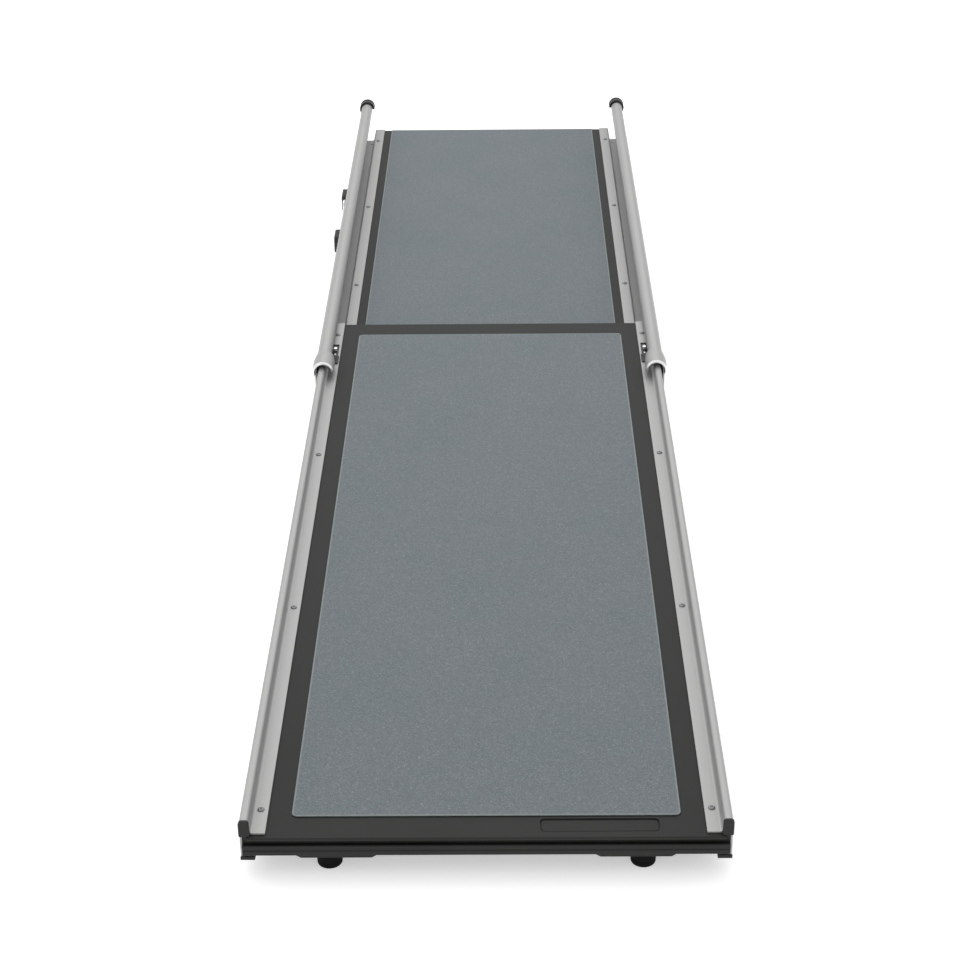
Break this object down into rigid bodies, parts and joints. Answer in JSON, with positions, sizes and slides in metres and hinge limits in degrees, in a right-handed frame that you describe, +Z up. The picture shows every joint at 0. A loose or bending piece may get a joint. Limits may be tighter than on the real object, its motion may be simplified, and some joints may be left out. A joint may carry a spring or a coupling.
{
  "type": "telescoping pet ramp",
  "caption": "Long two-section ramp with ribbed gritted decks in side rails; the upper section slides out from under the lower one, with locks, feet and a side carry handle.",
  "frame": {"origin": "on the ground, under the middle of the fully extended ramp", "axes": "+Y up the ramp from the ground end to the tailgate end, +Z up, +X to the right"},
  "size_m": [0.5025, 2.1854, 0.0734],
  "materials": {
    "aluminium": "satin anodised",
    "deck_plastic": "moulded, fine texture",
    "grip": "fine grit",
    "cap_plastic": "moulded, satin",
    "rubber": "matte",
    "steel": "bright zinc",
    "grip_plastic": "matte"
  },
  "bodies": {
    "lower_section": {"front_glide_shoe_left": "cap_plastic", "front_glide_shoe_right": "cap_plastic", "lock_bezel_left": "cap_plastic", "lock_bezel_right": "cap_plastic", "lock_screw_left": "steel", "lock_screw_right": "steel", "lower_deck": "deck_plastic", "lower_foot_left": "rubber", "lower_foot_right": "rubber", "lower_foot_screw_left": "steel", "lower_foot_screw_right": "steel", "lower_grip_sheet": "grip", "lower_rail_left": "aluminium", "lower_rail_right": "aluminium", "lower_rivet_left_1": "steel", "lower_rivet_left_2": "steel", "lower_rivet_left_3": "steel", "lower_rivet_left_4": "steel", "lower_rivet_right_1": "steel", "lower_rivet_right_2": "steel", "lower_rivet_right_3": "steel", "lower_rivet_right_4": "steel", "rear_glide_shoe_left": "cap_plastic", "rear_glide_shoe_right": "cap_plastic", "rib_end_cap_left": "cap_plastic", "rib_end_cap_right": "cap_plastic", "toe_cap": "cap_plastic"},
    "upper_section": {"guide_collar_left": "aluminium", "guide_collar_right": "aluminium", "handle_bracket_far": "cap_plastic", "handle_bracket_near": "cap_plastic", "travel_stop_left": "steel", "travel_stop_right": "steel", "tube_end_cap_left": "cap_plastic", "tube_end_cap_right": "cap_plastic", "upper_deck": "deck_plastic", "upper_end_cap": "cap_plastic", "upper_foot_left": "rubber", "upper_foot_right": "rubber", "upper_foot_screw_left": "steel", "upper_foot_screw_right": "steel", "upper_grip_sheet": "grip", "upper_rail_left": "aluminium", "upper_rail_right": "aluminium", "upper_rivet_left_1": "steel", "upper_rivet_left_2": "steel", "upper_rivet_left_3": "steel", "upper_rivet_left_4": "steel", "upper_rivet_right_1": "steel", "upper_rivet_right_2": "steel", "upper_rivet_right_3": "steel", "upper_rivet_right_4": "steel"},
    "lock_left": {"lock_pin_left": "steel"},
    "lock_right": {"lock_pin_right": "steel"},
    "carry_handle": {"handle_bail": "steel", "handle_grip": "grip_plastic"}
  },
  "joints": [
    {"name": "telescope_slide", "type": "slide", "parent": "lower_section", "child": "upper_section", "axis": [0, 1, 0], "range_m": [-0.975, 0]},
    {"name": "lock_left_push", "type": "slide", "parent": "lower_section", "child": "lock_left", "axis": [0, 0, 1], "range_m": [-0.004, 0]},
    {"name": "lock_right_push", "type": "slide", "parent": "lower_section", "child": "lock_right", "axis": [0, 0, 1], "range_m": [-0.004, 0]},
    {"name": "handle_swing", "type": "hinge", "parent": "upper_section", "child": "carry_handle", "pos_m": [-0.2496, 0.56635, 0.041], "axis": [0, 1, 0], "range_deg": [0, 180]}
  ]
}
